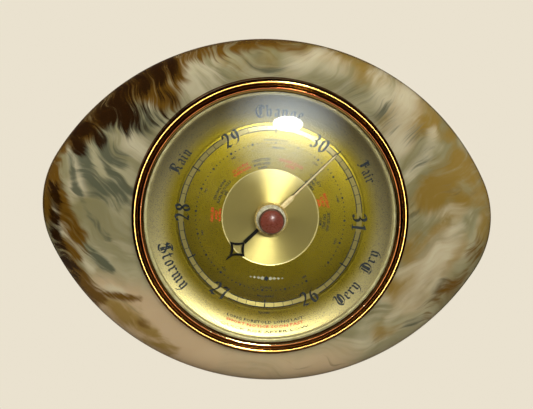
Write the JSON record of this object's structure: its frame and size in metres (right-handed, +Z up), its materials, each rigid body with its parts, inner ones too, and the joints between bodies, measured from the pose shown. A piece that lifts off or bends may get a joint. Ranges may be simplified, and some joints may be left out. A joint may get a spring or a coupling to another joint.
{
  "type": "wall aneroid barometer",
  "caption": "Wall aneroid barometer: almond-shaped marbled case, round brass bezel and domed lens, dished brass dial with a black pressure hand, brass set hand and domed knob.",
  "frame": {"origin": "on the flat rear plane of the case, in line with the centre of the dial", "axes": "+Z up, dial faces -Y, the wall is on +Y, +X to the reader's right along the case's long axis"},
  "size_m": [0.2032, 0.0449, 0.1546],
  "materials": {
    "marbled_resin": "polished cast resin, marbled cream, grey-green, amber and dark brown",
    "polished_brass": "polished and lacquered",
    "satin_brass": "satin lacquered, printed on the dial",
    "pale_brass": "pale satin",
    "steel": "bright machined",
    "nickel": "nickel plated",
    "black_lacquer": "black lacquer",
    "brown_plastic": "polished moulded plastic",
    "clear_acrylic": "clear polished"
  },
  "bodies": {
    "case": {"case_shell": "marbled_resin", "movement_cup": "satin_brass", "back_cover": "satin_brass", "hanger_plate": "polished_brass", "bezel": "polished_brass", "lens": "clear_acrylic", "lens_ring": "pale_brass", "dial": "satin_brass", "arbor_cock": "satin_brass", "back_cover_screw_1": "polished_brass", "back_cover_screw_2": "polished_brass", "back_cover_screw_3": "polished_brass", "base_plate": "satin_brass", "base_screw_1": "steel", "base_screw_2": "steel", "base_screw_3": "steel", "bridge_screw_1": "steel", "bridge_screw_2": "steel", "capsule_lower": "nickel", "capsule_upper": "nickel", "cup_screw_1": "steel", "cup_screw_2": "steel", "cup_screw_3": "steel", "dial_pillar_1": "polished_brass", "dial_pillar_2": "polished_brass", "dial_pillar_3": "polished_brass", "hairspring": "steel", "hairspring_stud": "polished_brass", "hanger_screw_left": "polished_brass", "hanger_screw_right": "polished_brass", "mainspring": "steel", "mainspring_screw_1": "steel", "mainspring_screw_2": "steel", "plate_pillar_1": "polished_brass", "plate_pillar_2": "polished_brass", "plate_pillar_3": "polished_brass", "plate_screw_1": "steel", "plate_screw_2": "steel", "plate_screw_3": "steel", "rocker_bracket": "satin_brass", "rocker_bracket_screw": "steel", "set_washer": "nickel", "spring_bridge": "satin_brass", "top_plate": "satin_brass"},
    "adjusting_screw_body": {"adjusting_screw": "polished_brass"},
    "pressure_hand_body": {"pressure_hand": "black_lacquer", "hand_arbor": "steel", "hairspring_collet": "polished_brass"},
    "chain_body": {"drive_chain": "steel"},
    "rocker_body": {"rocking_shaft": "steel"},
    "lever_body": {"main_lever": "steel"},
    "link_body": {"connecting_link": "steel"},
    "capsule_post_body": {"capsule_post": "steel"},
    "set_hand_body": {"set_hand": "polished_brass", "set_spindle": "polished_brass", "knob_ferrule": "polished_brass", "knob_cap": "brown_plastic"}
  },
  "joints": [
    {"name": "pressure_hand_turn", "type": "hinge", "parent": "case", "child": "pressure_hand_body", "pos_m": [0, 0, 0], "axis": [0, -1, 0], "range_deg": [-75, 255]},
    {"name": "chain_pull", "type": "slide", "parent": "case", "child": "chain_body", "axis": [1, 0, 0], "range_m": [-0.0013, 0.004]},
    {"name": "rocker_turn", "type": "hinge", "parent": "case", "child": "rocker_body", "pos_m": [0.035, -0.0135, 0], "axis": [0, 0, 1], "range_deg": [-9, 27]},
    {"name": "lever_lift", "type": "hinge", "parent": "case", "child": "lever_body", "pos_m": [-0.02, -0.0162, 0], "axis": [0, 0, 1], "range_deg": [-2, 0.7], "deforming": ["mainspring"]},
    {"name": "link_swing", "type": "hinge", "parent": "lever_body", "child": "link_body", "pos_m": [0.0315, -0.0191, 0], "axis": [0, 0, 1], "range_deg": [-0.7, 2]},
    {"name": "capsule_post_rise", "type": "slide", "parent": "case", "child": "capsule_post_body", "axis": [0, -1, 0], "range_m": [-0.000178, 0.000605]},
    {"name": "set_hand_turn", "type": "hinge", "parent": "case", "child": "set_hand_body", "pos_m": [0, 0, 0], "axis": [0, -1, 0], "continuous": true},
    {"name": "adjusting_screw_turn", "type": "hinge", "parent": "case", "child": "adjusting_screw_body", "pos_m": [-0.03, 0, 0], "axis": [0, 1, 0], "range_deg": [-180, 180]}
  ],
  "couplings": [
    {"joint": "pressure_hand_turn", "follows": "capsule_post_rise", "rad_per_m": 7350},
    {"joint": "chain_pull", "follows": "capsule_post_rise", "ratio": 6.2475},
    {"joint": "rocker_turn", "follows": "capsule_post_rise", "rad_per_m": 735},
    {"joint": "lever_lift", "follows": "capsule_post_rise", "rad_per_m": -49.98},
    {"joint": "link_swing", "follows": "capsule_post_rise", "rad_per_m": 49.98}
  ]
}
